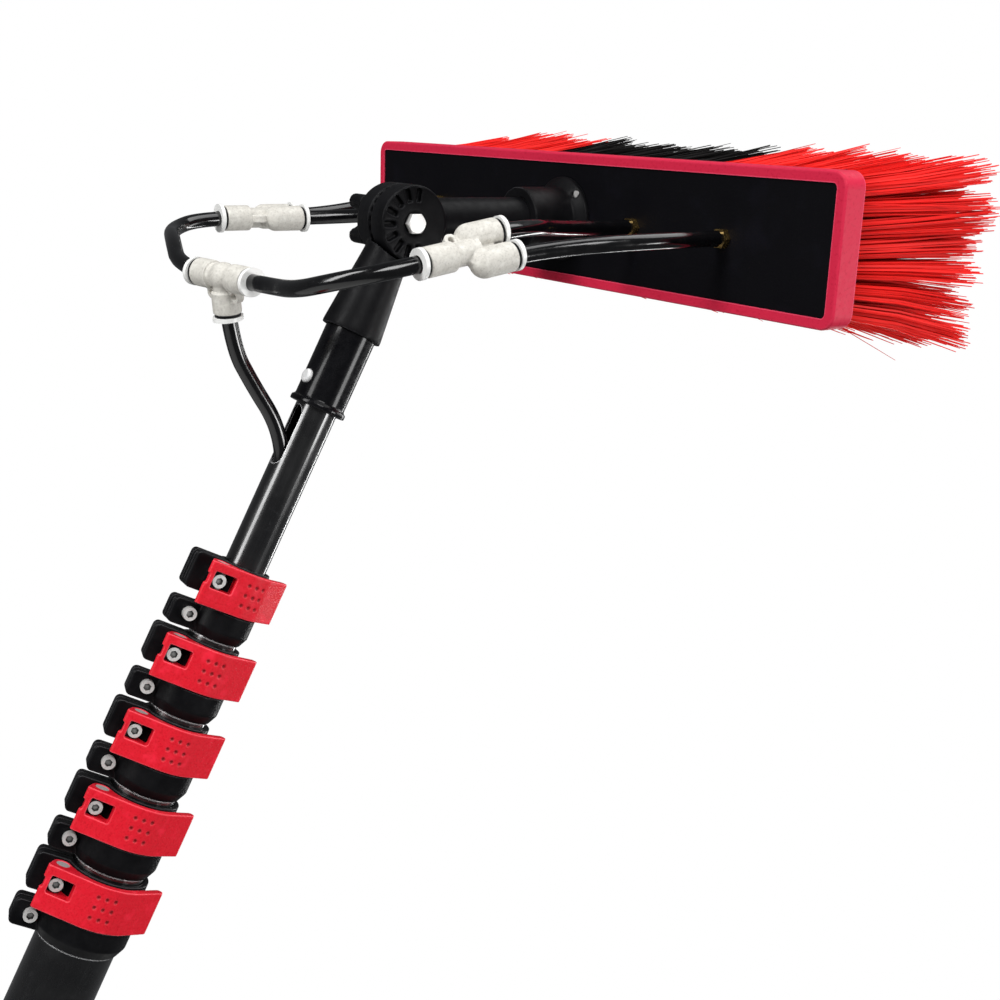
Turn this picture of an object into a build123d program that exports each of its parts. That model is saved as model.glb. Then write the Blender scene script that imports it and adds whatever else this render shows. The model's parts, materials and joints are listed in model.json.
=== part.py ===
from build123d import *
import os
from math import atan2, cos, degrees, pi, radians, sin, sqrt, tan

# Water-fed telescopic cleaning pole: six tubes with cam-lever clamps, a toothed tilt joint,
# a hose-fed brush and its push-in fittings. Millimetres. +Z runs up the pole, the origin is the
# centre of the base tube's lower end, X is the tilt axis and the brush's long side, and the
# bristles point towards +Y.

os.makedirs("parts", exist_ok=True)

# ---- fits ----
RUNNING_FIT = 0.1          # radial gap where one piece slides or turns in another
SOFT_GAP = 0.3             # gap between pieces that move past each other

# ---- telescopic tubes: section 1 is the thinnest, the last one is the base tube ----
SECTIONS = 6
TOP_TUBE_OD = 22.0
TUBE_STEP = 4.0            # growth in outside diameter from one tube to the next
TUBE_WALL = 1.4
BASE_LENGTH = 1300.0
CLAMP_PITCH = 42.3         # from one clamp to the next with the pole pushed together
HEAD_REACH = 220.5         # from the top clamp's shoulder up to the tilt axis
BUTT_PLUG_DEPTH = 30.0
BUTT_PLUG_BORE = 18.0
BUSH_LENGTH = 30.0
BUSH_FLANGE = 2.0
BUSH_LEDGE = 1.5           # how far a bush's flange reaches inside its tube's bore

# ---- hose ----
HOSE_OD = 8.0
HOSE_WALL = 1.5
HOSE_BORE = HOSE_OD - 2 * HOSE_WALL
HOSE_GRIP = 0.05          # radial clearance of a hose in its seat
HOSE_STRAIGHT = 28.0       # straight stretch of hose, from its seat in a fitting

# ---- cam-lever clamps; heights are from the shoulder that sits on the outer tube's end ----
COLLAR_WALL = 2.6
COLLAR_TOP = 24.5
BAND_WALL = 3.2
BAND_DEPTH = 15.0
BAND_CHAMFER = 5.0
BAND_CHAMFER_IN = 2.4
SEAT_STEP = 0.3            # a tube's end is turned down by this under its clamp
SEAT_DEPTH = BAND_DEPTH + 0.5
EAR_HALF = 6.0             # outer face of an ear, from the slit's middle
EAR_CORNER = 1.5
EAR_SIDE_CORNER = 3.0
SLIT_HALF = 1.0
UPPER_EAR_REACH = 17.5     # beyond the inner tube's surface
UPPER_EAR_LOW = 5.0
LOWER_EAR_REACH = 16.0     # beyond the outer tube's surface
LOWER_EAR_TOP = -1.0
EAR_GROOVE = 1.2
LEVER_LOW = 0.8
LEVER_HIGH = 23.6
LEVER_THICKNESS = 4.2
LEVER_GAP = 0.5            # between the closed lever and the collar
LEVER_ROOT = 50.0          # degrees from the cam round to where the lever meets the collar
LEVER_WRAP = 38.0          # degrees past the clamp's front that the lever follows the collar
LEVER_OPEN = 68.0          # degrees the lever swings out
RELIEF_STEPS = 6           # cuts that keep the opening lever off its collar
LEVER_TAB = 15.0
LEVER_NOTCH = 1.3
LEVER_NOTCH_HALF = 2.6
LOBE_R = 5.2
TRUNNION_R = 3.5
TRUNNION_FLAT = 2.6
LEVER_BOLT_OUT = 5.0       # bolt axis beyond the inner tube's surface
LEVER_BOLT_UP = 14.5
LOWER_BOLT_OUT = 6.9       # bolt axis beyond the outer tube's surface
LOWER_BOLT_UP = -7.0
WINDOW_HALF = 4.5
WINDOW_REACH = 8.2
POST_R = 1.8               # column of the lever beside the bolt window
CLAMP_TURN = {1: -9.0, 2: -19.0, 3: -19.0, 4: -19.0, 5: -19.0}   # degrees about the pole

# ---- screws ----
SCREW_R = 2.0
SCREW_HEAD_R = 3.5
SCREW_HEAD_T = 3.2
SCREW_SOCKET_R = 2.0
SCREW_SOCKET_DEPTH = 1.8
SCREW_TAIL = 1.0           # shank beyond its nut
NUT_R = 3.9
NUT_T = 3.0

# ---- adapter sleeve, spring button and the hose slot; heights are down from the tilt axis ----
SLEEVE_WALL = 2.5
SLEEVE_OD = TOP_TUBE_OD + 2 * SLEEVE_WALL
SLEEVE_TOP = 62.0
SLEEVE_END = 104.0
SLEEVE_RING_OD = SLEEVE_OD + 3.0
SLEEVE_RING = 3.0
SPIGOT_OD = TOP_TUBE_OD + 2.4
SPIGOT_TOP = 48.0
BUTTON_DOWN = 93.5
BUTTON_R = 3.7
BUTTON_PROUD = 1.1
BUTTON_FLANGE_R = 5.0
BUTTON_FLANGE_T = 1.1
SPRING_T = 0.6
SPRING_WIDTH = 5.0
SPRING_RISE = 16.0         # of the leaf's fold above the button's axis
SPRING_FOOT = 5.0          # half length of each flat leg
SPRING_BACK_GAP = 1.6      # the back leg's middle line from the far wall, which keeps its corners clear
SLOT_TOP = 108.5
SLOT_LENGTH = 33.0
SLOT_WIDTH = HOSE_OD + 2.0

# ---- tilt joint ----
HEAD_TILT = 28.0           # rest angle of the upper arm above the horizontal
DISC_R = 19.5
DISC_HALF = 13.0
DISC_EDGE = 1.2
FACE_GAP = 0.15            # each toothed face from the joint's middle, as when the knob is slack
TOOTH_COUNT = 24
TOOTH_HEIGHT = 1.2
TOOTH_IN_R = 11.0
TOOTH_OUT_R = DISC_R - 1.5
HUB_WALL = 2.0             # of the ring inside the teeth
POCKET_DEPTH = 3.0
POCKET_COUNT = 9
POCKET_FIRST = 80.0        # degrees from the disc's open side
POCKET_LAST = 280.0
POCKET_HALF = 1.6
NECK_CLEAR = 0.9           # between an arm's neck and the other arm's disc
ARM_R = 12.0
CONE_R = SLEEVE_OD / 2 + 2.5
CONE_RIM = 2.0
PIVOT_BOLT_R = 3.0
PIVOT_HEAD_R = 5.6
PIVOT_HEAD_T = 4.0
PIVOT_HEAD_EDGE = 1.0
PIVOT_TAIL = 2.0           # the bolt ends this far inside the knob's outer face
PIVOT_RECESS = 1.0
PIVOT_RECESS_R = 6.2
WASHER_R = 8.0
WASHER_T = 1.2
KNOB_R = 19.0
KNOB_HUB_R = 10.0
KNOB_T = 12.0
KNOB_LOBES = 5
KNOB_LOBE_R = 4.0
KNOB_SPOKE = 6.8
KNOB_CAP = 2.5             # low boss on the knob's outer face
KNOB_CAP_R = 8.5
KNOB_FLOOR = 2.0           # plastic over the insert's outer end
KNOB_INSERT_R = 5.0

# ---- brush, measured along the upper arm from the tilt axis ----
PLATE_FACE = 107.0
BOSS_START = 75.0
BOSS_WALL = 5.5
BOSS_R = ARM_R + BOSS_WALL
BOSS_BORE_END = 98.0
FLARE_START = 101.0
FLARE_R = BOSS_R + 5.5
FLARE_FOOT = 2.5
FLANGE_SCREW_CIRCLE = FLARE_R - 2.8
FLANGE_SCREW_R = 1.9
FLANGE_SCREW_T = 1.2
BRUSH_LENGTH = 400.0
BRUSH_WIDTH = 72.0
BRUSH_CORNER = 8.0
TRIM_WIDTH = 5.5
TRIM_DEPTH = 13.0
TRIM_EDGE = 1.2
PLATE_INSET = 0.8
PLATE_T = 3.0
BRISTLE_LENGTH = 92.0
BRISTLE_MARGIN = 1.0       # bristle field inside the block's edge
BRISTLE_FLARE = 12.0       # how far the field spreads on each side at its tips
BLACK_HALF = 67.0          # half length of the black tufts in the top row
BLACK_ROW = 12.0           # width of the top row at the block
BLACK_LEAN = 0.6           # share of the flare that the row's lower edge leans by
JET_INNER = 59.0
JET_OUTER = 126.0
JET_SHANK_R = 4.0
JET_HEX_R = 5.2
JET_HEX_T = 3.5
JET_BARB_LENGTH = 8.0
JET_BORE_R = 1.2

# ---- push-in fittings ----
MOUTH_R = HOSE_OD / 2 + 1.3
BARREL_R = MOUTH_R + 1.7
WAIST_R = BARREL_R - 1.4
BARREL_EDGE = 0.8
MOUTH_DEPTH = 7.0
FLOW_R = 2.5
RING_GAP = 1.4             # a release ring's flange stands this far off its barrel
RING_FLANGE = 2.0
RING_SHORT = BARREL_R - 0.1     # half width of the oval flange
RING_LONG = BARREL_R + 0.8      # half length of the oval flange
RING_SLEEVE = 5.0
TEE_REACH = 18.0
TEE_SEAT = 6.0
TEE_CENTRE = Vector(0, -77, -68.5)       # from the tilt axis
TEE_THROUGH_TURN = 14.0
TEE_THROUGH_RISE = 5.0
TEE_BRANCH = Vector(0.05, 0.6, -0.8)
Y_REACH = 21.7
Y_SEAT = 8.0
Y_SPREAD = RING_SHORT + 0.4     # each outlet from the fitting's middle line
Y_ROOT = 6.0               # the web between the outlets ends this far inside their ends
Y_OUTLET_R = BARREL_R - 0.5
TAB_R = 3.4                # screw tab on a fitting
TAB_T = 4.0
TAB_HOLE_R = 1.6
TEE_TAB = (8.2, 8.5)       # tab centres from the tee's centre, along the run and the branch
Y_FITTINGS = {             # centre from the tilt axis, rise and roll in degrees, inner jet's side
    "right": (Vector(102, -24, -19), 37.3, 43.0, 1),
    "left": (Vector(-104, -24, -19), 28.0, 0.0, -1),
}

# ---- hose routes: middle points from the tilt axis, chosen by hand ----
LINK_RIGHT = [(57, -76, -66), (76, -74, -62), (93, -66, -53)]
LINK_LEFT = [(-57, -83, -58), (-75, -81, -56), (-94, -71, -49)]
POLE_DROP = [(0, -40, -104), (0, -20, -118), (0, -4, -136), (0, 1, -163), (0, 0, -195)]
JET_STANDOFF = 61.0        # where a jet hose has lined up with its jet, along the arm
ARC_SHARE = 0.45           # of the shorter run beside a bend that its arc takes up
POLE_HOSE_END = 16.0       # height of the pole hose's lower end
CONNECTOR_R = HOSE_OD / 2 + 2.5
CONNECTOR_NOSE_R = 4.5
CONNECTOR_NOSE = 3.0
CONNECTOR_LOW = 4.0
CONNECTOR_HIGH = 28.0

# ---- places that follow from the sizes above ----
PIVOT_Z = BASE_LENGTH + (SECTIONS - 2) * CLAMP_PITCH + HEAD_REACH
PIVOT = Vector(0, 0, PIVOT_Z)
ARM_DIRECTION = Vector(0, cos(radians(HEAD_TILT)), sin(radians(HEAD_TILT)))
HEAD = Plane(origin=PIVOT, x_dir=(1, 0, 0), z_dir=ARM_DIRECTION)    # local y points down the brush


def tube_r(section):
    return (TOP_TUBE_OD + (section - 1) * TUBE_STEP) / 2


def shoulder_z(clamp):
    return BASE_LENGTH + (SECTIONS - 1 - clamp) * CLAMP_PITCH


def section_bottom(section):
    if section == SECTIONS:
        return 0.0
    stack = SECTIONS - 1 - section
    return BUTT_PLUG_DEPTH + SOFT_GAP + BUSH_FLANGE + stack * (BUSH_FLANGE + SOFT_GAP)


def rod(radius, low, high):
    return Pos(0, 0, (low + high) / 2) * Cylinder(radius, high - low)


def pipe(outer, inner, low, high):
    return rod(outer, low, high) - rod(inner, low, high)


def cross_rod(radius, low, high):
    """A rod along X, between two X values."""
    return Pos((low + high) / 2, 0, 0) * (Rot(0, 90, 0) * Cylinder(radius, high - low))


def block(low, high):
    size = [b - a for a, b in zip(low, high)]
    middle = [(a + b) / 2 for a, b in zip(low, high)]
    return Pos(*middle) * Box(*size)


def save(name, *pieces):
    solids = [s for piece in pieces for s in piece.solids()]
    shape = solids[0] if len(solids) == 1 else Compound(children=solids)
    export_step(shape, f"parts/{name}.step")


# ---------------------------------------------------------------- tubes

def hose_slot():
    """The slot in the top tube where the hose goes in, on the -Y side."""
    reach = tube_r(1) + 2
    middle = PIVOT_Z - SLOT_TOP - SLOT_LENGTH / 2
    outline = Plane(origin=(0, 0, middle), x_dir=(0, 0, 1), z_dir=(0, -1, 0))
    return extrude(outline * SlotOverall(SLOT_LENGTH, SLOT_WIDTH), reach)


def button_hole(radius):
    reach = SLEEVE_OD
    middle = Pos(0, -reach / 2, PIVOT_Z - BUTTON_DOWN)
    return middle * (Rot(90, 0, 0) * Cylinder(radius, reach))


def tube(section):
    outer = tube_r(section)
    if section == 1:
        top = PIVOT_Z - SPIGOT_TOP
    else:
        top = shoulder_z(section - 1)
    body = pipe(outer, outer - TUBE_WALL, section_bottom(section), top)
    if section > 1:
        body -= pipe(outer + 1, outer - SEAT_STEP, top - SEAT_DEPTH, top + 1)
    if section == 1:
        body -= hose_slot()
        body -= button_hole(BUTTON_R + RUNNING_FIT)
    return body


def guide_bush(section):
    outer = tube_r(section + 1) - TUBE_WALL - RUNNING_FIT
    bore = tube_r(section)
    low = section_bottom(section)
    sleeve = pipe(outer, bore, low, low + BUSH_LENGTH)
    return sleeve + pipe(outer, bore - TUBE_WALL - BUSH_LEDGE, low - BUSH_FLANGE, low)


def butt_plug():
    outer = tube_r(SECTIONS) - TUBE_WALL
    return pipe(outer, BUTT_PLUG_BORE / 2, 0, BUTT_PLUG_DEPTH)


# ---------------------------------------------------------------- clamps

def clamp_place(clamp):
    return Location((0, 0, shoulder_z(clamp)), (0, 0, CLAMP_TURN[clamp]))


def ear_pair(reach, low, high, root):
    """Two ears towards -Y with a grooved, rounded grip edge, slit down the middle."""
    outline = RectangleRounded(2 * EAR_HALF, reach, EAR_CORNER)
    ears = Pos(0, -reach / 2, low) * extrude(outline, high - low)
    side_view = RectangleRounded(2 * reach, high - low, EAR_SIDE_CORNER)
    ears &= extrude(Plane.YZ * (Pos(0, (low + high) / 2) * side_view), 2 * EAR_HALF, both=True)
    for side in (-1, 1):
        groove_x = side * (SLIT_HALF + EAR_HALF) / 2
        ears -= block(
            (groove_x - EAR_GROOVE / 2, -reach - 1, low - 1),
            (groove_x + EAR_GROOVE / 2, -reach + EAR_GROOVE, high + 1),
        )
    return ears - block((-EAR_HALF - 1, -root, low - 1), (EAR_HALF + 1, 1, high + 1))


def clamp_body(clamp):
    inner = tube_r(clamp)
    outer = tube_r(clamp + 1)
    collar_r = inner + COLLAR_WALL
    band_r = outer + BAND_WALL
    body = rod(collar_r, 0, COLLAR_TOP) + rod(band_r, -BAND_DEPTH, 0)
    edge = body.edges().filter_by(GeomType.CIRCLE).group_by(Axis.Z)[0]
    body = chamfer(edge, BAND_CHAMFER, BAND_CHAMFER_IN)
    body += ear_pair(inner + UPPER_EAR_REACH, UPPER_EAR_LOW, COLLAR_TOP, inner)
    body += ear_pair(outer + LOWER_EAR_REACH, -BAND_DEPTH + 0.5, LOWER_EAR_TOP, outer)
    body -= rod(inner + RUNNING_FIT, -BAND_DEPTH - 1, COLLAR_TOP + 1)
    body -= rod(outer - SEAT_STEP, -BAND_DEPTH - 1, 0)
    reach = outer + LOWER_EAR_REACH + 1
    body -= block((-SLIT_HALF, -reach, -BAND_DEPTH - 1), (SLIT_HALF, 0, COLLAR_TOP + 1))
    for y, z in (lever_bolt_yz(clamp), lower_bolt_yz(clamp)):
        bore = cross_rod(SCREW_R, -EAR_HALF - 1, EAR_HALF + 1)
        for side in (-1, 1):
            seat = sorted((side * EAR_HALF, side * (EAR_HALF + 2 * NUT_T)))
            bore += cross_rod(NUT_R + SOFT_GAP, *seat)
        body -= Pos(0, y, z) * bore
    return clamp_place(clamp) * body


def lever_bolt_yz(clamp):
    return -(tube_r(clamp) + LEVER_BOLT_OUT), LEVER_BOLT_UP


def lower_bolt_yz(clamp):
    return -(tube_r(clamp + 1) + LOWER_BOLT_OUT), LOWER_BOLT_UP


def trunnion_x():
    return EAR_HALF + SOFT_GAP + LOBE_R


def lever(clamp):
    inside = tube_r(clamp) + COLLAR_WALL + LEVER_GAP
    middle = inside + LEVER_THICKNESS / 2
    bolt_y, bolt_z = lever_bolt_yz(clamp)
    pivot_x = trunnion_x()
    start = degrees(atan2(bolt_y, pivot_x)) + LEVER_ROOT
    half = LEVER_THICKNESS / 2
    root = Pos(middle * cos(radians(start)), middle * sin(radians(start))) * Circle(half)
    post_x = pivot_x + LOBE_R - 0.4
    post_y = bolt_y - LOBE_R - 0.4
    cam = [Pos(pivot_x, bolt_y) * Circle(LOBE_R), Pos(post_x, post_y) * Circle(POST_R), root]
    outline = make_hull([e for circle in cam for e in circle.edges()])
    # the wrap: a polar strip that follows the collar, then leaves it in a straight tab
    wrap_arc = CenterArc((0, 0), middle, start, LEVER_WRAP - start)
    end = radians(LEVER_WRAP)
    tip_start = wrap_arc @ 1
    tip_end = tip_start + Vector(-sin(end), cos(end)) * LEVER_TAB
    strip = trace(Wire([wrap_arc, Line(tip_start, tip_end)]), LEVER_THICKNESS)
    flat = outline + strip + Pos(tip_end.X, tip_end.Y) * Circle(half)
    flat -= Circle(inside)
    for step in range(1, RELIEF_STEPS + 1):
        turned_back = Pos(pivot_x, bolt_y) * Rot(0, 0, LEVER_OPEN * step / RELIEF_STEPS)
        flat -= turned_back * (Pos(-pivot_x, -bolt_y) * Circle(tube_r(clamp) + COLLAR_WALL + SOFT_GAP))
    body = Pos(0, 0, LEVER_LOW) * extrude(flat, LEVER_HIGH - LEVER_LOW)
    # the window for the bolt's head, open behind the post
    far = pivot_x + LOBE_R + 6
    window_low = bolt_z - WINDOW_HALF
    window_high = bolt_z + WINDOW_HALF
    post_edge = post_y + POST_R
    body -= block((0, post_edge, window_low), (far, bolt_y + WINDOW_REACH, window_high))
    body -= block(
        (0, post_edge - 2 * LOBE_R, window_low),
        (post_x - POST_R, post_edge, window_high),
    )
    body -= block(
        (0, post_y - POST_R - 1, bolt_z - LEVER_NOTCH_HALF),
        (far, post_y - POST_R + LEVER_NOTCH, bolt_z + LEVER_NOTCH_HALF),
    )
    body -= Pos(pivot_x, bolt_y) * rod(TRUNNION_R + RUNNING_FIT / 2, LEVER_LOW - 1, LEVER_HIGH + 1)
    return clamp_place(clamp) * body


def socket_screw(head_seat, tail):
    """A socket-head screw along X, its head above head_seat and its shank down to tail."""
    shank = cross_rod(SCREW_R, tail, head_seat)
    head = cross_rod(SCREW_HEAD_R, head_seat, head_seat + SCREW_HEAD_T)
    floor = head_seat + SCREW_HEAD_T - SCREW_SOCKET_DEPTH
    socket = Plane(origin=(floor, 0, 0), z_dir=(1, 0, 0)) * RegularPolygon(SCREW_SOCKET_R, 6)
    return shank + head - extrude(socket, SCREW_HEAD_T)


def hex_nut(face):
    flat = Plane(origin=(face - NUT_T, 0, 0), z_dir=(1, 0, 0))
    body = extrude(flat * RegularPolygon(NUT_R, 6), NUT_T)
    return body - cross_rod(SCREW_R, face - NUT_T - 1, face + 1)


def clamp_screws(clamp):
    bolt_y, bolt_z = lever_bolt_yz(clamp)
    low_y, low_z = lower_bolt_yz(clamp)
    pivot_x = trunnion_x()
    tail = -EAR_HALF - NUT_T - SCREW_TAIL
    at_lever = Pos(0, bolt_y, bolt_z)
    at_band = Pos(0, low_y, low_z)
    seat = pivot_x + TRUNNION_FLAT
    trunnion = Pos(pivot_x, bolt_y) * rod(TRUNNION_R, LEVER_LOW + SOFT_GAP, LEVER_HIGH - SOFT_GAP)
    trunnion -= block(
        (seat, bolt_y - LOBE_R, bolt_z - SCREW_HEAD_R - SOFT_GAP),
        (seat + LOBE_R, bolt_y + LOBE_R, bolt_z + SCREW_HEAD_R + SOFT_GAP),
    )
    trunnion -= at_lever * cross_rod(SCREW_R, pivot_x - LOBE_R, pivot_x + LOBE_R)
    place = clamp_place(clamp)
    pieces = [
        at_lever * socket_screw(seat, tail),
        trunnion,
        at_lever * hex_nut(-EAR_HALF),
        at_band * socket_screw(EAR_HALF, tail),
        at_band * hex_nut(-EAR_HALF),
    ]
    return [place * piece for piece in pieces]


# ---------------------------------------------------------------- adapter, button and lower arm

def adapter_sleeve():
    bore = tube_r(1)
    down = PIVOT_Z
    body = pipe(SLEEVE_OD / 2, bore, down - SLEEVE_END, down - SLEEVE_TOP)
    body += pipe(SPIGOT_OD / 2, bore, down - SLEEVE_TOP, down - SPIGOT_TOP)
    body += pipe(SLEEVE_RING_OD / 2, bore, down - SLEEVE_END - SLEEVE_RING, down - SLEEVE_END)
    return body - button_hole(BUTTON_R + RUNNING_FIT)


def button_seat_y():
    """The innermost flat behind the button hole that the flange can rest against."""
    bore = tube_r(1) - TUBE_WALL
    return -sqrt(bore ** 2 - BUTTON_FLANGE_R ** 2) + RUNNING_FIT


def spring_button():
    seat = button_seat_y()
    tip = -(SLEEVE_OD / 2 + BUTTON_PROUD)
    at = Pos(0, 0, PIVOT_Z - BUTTON_DOWN) * Rot(90, 0, 0)
    pin = at * rod(BUTTON_R, -seat - BUTTON_FLANGE_T, -tip)
    crown = pin.edges().filter_by(GeomType.CIRCLE).sort_by(Axis.Y)[0]
    pin = fillet(crown, BUTTON_PROUD)
    return pin + at * rod(BUTTON_FLANGE_R, -seat - BUTTON_FLANGE_T, -seat)


def button_spring():
    """A leaf folded in a V, from the button's back to the far wall of the tube."""
    z = PIVOT_Z - BUTTON_DOWN
    front = button_seat_y() + BUTTON_FLANGE_T + SPRING_T
    back = tube_r(1) - TUBE_WALL - SPRING_T - SPRING_BACK_GAP
    path = Polyline(
        (0, front, z - SPRING_FOOT), (0, front, z + SPRING_FOOT), (0, 0, z + SPRING_RISE),
        (0, back, z + SPRING_FOOT), (0, back, z - SPRING_FOOT),
    )
    start = Plane(origin=(0, front, z - SPRING_FOOT), z_dir=(0, 0, 1))
    return sweep(start * Rectangle(SPRING_WIDTH, SPRING_T), path, transition=Transition.RIGHT)


def toothed_disc(side, open_angle):
    """Half of the tilt joint on the given side of X = 0; pockets face away from open_angle."""
    face = FACE_GAP + TOOTH_HEIGHT
    disc = cross_rod(DISC_R, face, DISC_HALF)
    rim = disc.edges().filter_by(GeomType.CIRCLE).group_by(Axis.X)[-1]
    disc = fillet(rim, DISC_EDGE)
    hub = TOOTH_IN_R - 1
    disc += cross_rod(hub, FACE_GAP, face) - cross_rod(hub - HUB_WALL, 0, face)
    tooth_width = pi * TOOTH_IN_R / TOOTH_COUNT
    for i in range(TOOTH_COUNT):
        tooth = block((FACE_GAP, -tooth_width / 2, TOOTH_IN_R), (face, tooth_width / 2, TOOTH_OUT_R))
        disc += Rot(i * 360 / TOOTH_COUNT, 0, 0) * tooth
    floor = DISC_HALF - POCKET_DEPTH
    pocket = block((floor, -POCKET_HALF, TOOTH_IN_R), (DISC_HALF + 1, POCKET_HALF, TOOTH_OUT_R))
    pitch = (POCKET_LAST - POCKET_FIRST) / (POCKET_COUNT - 1)
    for i in range(POCKET_COUNT):
        disc -= Rot(open_angle + POCKET_FIRST + i * pitch, 0, 0) * pocket
    return disc if side > 0 else Rot(0, 0, 180) * disc


def tooth_space(side, span):
    """Room beside the joint's middle plane for the other disc's teeth."""
    xs = sorted((0, side * (FACE_GAP + TOOTH_HEIGHT)))
    return block((xs[0], -CONE_R, span[0]), (xs[1], CONE_R, span[1])) & cross_rod(DISC_R, *xs)


def lower_arm():
    cone_low = -SLEEVE_TOP
    neck_low = -DISC_R - NECK_CLEAR
    cone = Plane(origin=(0, 0, cone_low)) * Circle(CONE_R)
    neck = Plane(origin=(0, 0, neck_low)) * Circle(ARM_R)
    body = loft([cone, neck]) + rod(ARM_R, neck_low, -4)
    body += pipe(CONE_R, SLEEVE_OD / 2, cone_low - CONE_RIM, cone_low)
    body -= cross_rod(DISC_R + NECK_CLEAR, -FACE_GAP, CONE_R + 1)
    body -= tooth_space(-1, (neck_low, 0))
    body -= block((-CONE_R, -CONE_R, neck_low), (-DISC_HALF, CONE_R, 0))
    body += toothed_disc(-1, 180)
    body -= rod(SPIGOT_OD / 2, cone_low - 1, -SPIGOT_TOP)
    body -= cross_rod(PIVOT_BOLT_R + RUNNING_FIT, -DISC_HALF - 1, DISC_HALF)
    return Pos(PIVOT) * body


def upper_arm():
    """Built along +Z, then laid along the arm's direction."""
    neck = DISC_R + NECK_CLEAR
    body = rod(ARM_R, 4, BOSS_BORE_END)
    body -= cross_rod(neck, -CONE_R - 1, FACE_GAP)
    body -= tooth_space(1, (0, neck))
    body += toothed_disc(1, 0)
    body -= cross_rod(PIVOT_BOLT_R, -DISC_HALF, DISC_HALF + 1)
    body -= cross_rod(PIVOT_RECESS_R, DISC_HALF - PIVOT_RECESS, DISC_HALF + 1)
    return HEAD.location * body


def pivot_bolt():
    seat = DISC_HALF - PIVOT_RECESS
    tail = -DISC_HALF - WASHER_T - KNOB_T + PIVOT_TAIL
    hexagon = Plane(origin=(seat, 0, 0), z_dir=(1, 0, 0)) * RegularPolygon(PIVOT_HEAD_R, 6)
    head = extrude(hexagon, PIVOT_HEAD_T)
    crown = cross_rod(PIVOT_HEAD_R, seat, seat + PIVOT_HEAD_T)
    crown = chamfer(crown.edges().filter_by(GeomType.CIRCLE).sort_by(Axis.X)[-1], PIVOT_HEAD_EDGE)
    return HEAD.location * ((head & crown) + cross_rod(PIVOT_BOLT_R, tail, seat))


def pivot_washer():
    low = -DISC_HALF - WASHER_T
    body = cross_rod(WASHER_R, low, -DISC_HALF) - cross_rod(PIVOT_BOLT_R + RUNNING_FIT, low, -DISC_HALF)
    return Pos(PIVOT) * body


def insert_prism(low, length):
    return extrude(Plane(origin=(low, 0, 0), z_dir=(1, 0, 0)) * RegularPolygon(KNOB_INSERT_R, 6), length)


def knob():
    high = -DISC_HALF - WASHER_T - SOFT_GAP
    low = high - KNOB_T
    flat = Circle(KNOB_HUB_R)
    for i in range(KNOB_LOBES):
        angle = radians(i * 360 / KNOB_LOBES)
        tip = KNOB_R - KNOB_LOBE_R
        lobe = Pos(tip * cos(angle), tip * sin(angle)) * Circle(KNOB_LOBE_R)
        spoke = Rot(0, 0, degrees(angle)) * (Pos(tip / 2, 0) * Rectangle(tip, KNOB_SPOKE))
        flat += lobe + spoke
    face = Plane(origin=(low, 0, 0), z_dir=(1, 0, 0))
    body = extrude(face * flat, KNOB_T)
    body += cross_rod(KNOB_CAP_R, low - KNOB_CAP, low)
    body -= insert_prism(low + KNOB_FLOOR, KNOB_T)
    return HEAD.location * (body - cross_rod(PIVOT_BOLT_R + SOFT_GAP, low, high))


def knob_insert():
    high = -DISC_HALF - WASHER_T - SOFT_GAP
    low = high - KNOB_T
    body = insert_prism(low + KNOB_FLOOR, KNOB_T - KNOB_FLOOR)
    return HEAD.location * (body - cross_rod(PIVOT_BOLT_R + RUNNING_FIT / 2, low, high))


# ---------------------------------------------------------------- brush

def brush_socket():
    """The boss that the arm plugs into, with its screw flange on the brush's back plate."""
    plate = PLATE_FACE + PLATE_INSET
    body = rod(BOSS_R, BOSS_START, FLARE_START)
    flare = Plane(origin=(0, 0, FLARE_START)) * Circle(BOSS_R)
    foot = Plane(origin=(0, 0, plate - FLARE_FOOT)) * Circle(FLARE_R)
    body += loft([flare, foot]) + rod(FLARE_R, plate - FLARE_FOOT, plate)
    body -= rod(ARM_R, BOSS_START - 1, BOSS_BORE_END)
    for place in flange_screw_places():
        body -= place * rod(FLANGE_SCREW_R + RUNNING_FIT, BOSS_BORE_END, plate - FLARE_FOOT)
    return HEAD.location * body


def plate_outline(inset):
    corner = max(BRUSH_CORNER - inset, 1)
    return RectangleRounded(BRUSH_LENGTH - 2 * inset, BRUSH_WIDTH - 2 * inset, corner)


def brush_slab(inset, low, high):
    return Pos(0, 0, low) * extrude(plate_outline(inset), high - low)


def jet_places():
    return [side * x for x in (JET_INNER, JET_OUTER) for side in (-1, 1)]


def brush_trim():
    ring = brush_slab(0, PLATE_FACE, PLATE_FACE + TRIM_DEPTH)
    soft = ring.faces().sort_by(Axis.Z)[0].edges()
    ring = fillet(soft, TRIM_EDGE)
    return HEAD.location * (ring - brush_slab(TRIM_WIDTH, PLATE_FACE - 1, PLATE_FACE + TRIM_DEPTH + 1))


def drilled(body):
    for x in jet_places():
        body -= Pos(x, 0, 0) * rod(JET_SHANK_R, PLATE_FACE - 1, PLATE_FACE + TRIM_DEPTH + 1)
    return body


def back_plate():
    low = PLATE_FACE + PLATE_INSET
    return HEAD.location * drilled(brush_slab(TRIM_WIDTH, low, low + PLATE_T))


def brush_block():
    low = PLATE_FACE + PLATE_INSET + PLATE_T
    return HEAD.location * drilled(brush_slab(TRIM_WIDTH, low, PLATE_FACE + TRIM_DEPTH))


def bristle_field():
    low = PLATE_FACE + TRIM_DEPTH
    length = BRUSH_LENGTH - 2 * (TRIM_WIDTH + BRISTLE_MARGIN)
    width = BRUSH_WIDTH - 2 * (TRIM_WIDTH + BRISTLE_MARGIN)
    base = Plane(origin=(0, 0, low)) * Rectangle(length, width)
    wide = Rectangle(length + 2 * BRISTLE_FLARE, width + 2 * BRISTLE_FLARE)
    return loft([base, Plane(origin=(0, 0, low + BRISTLE_LENGTH)) * wide])


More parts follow.
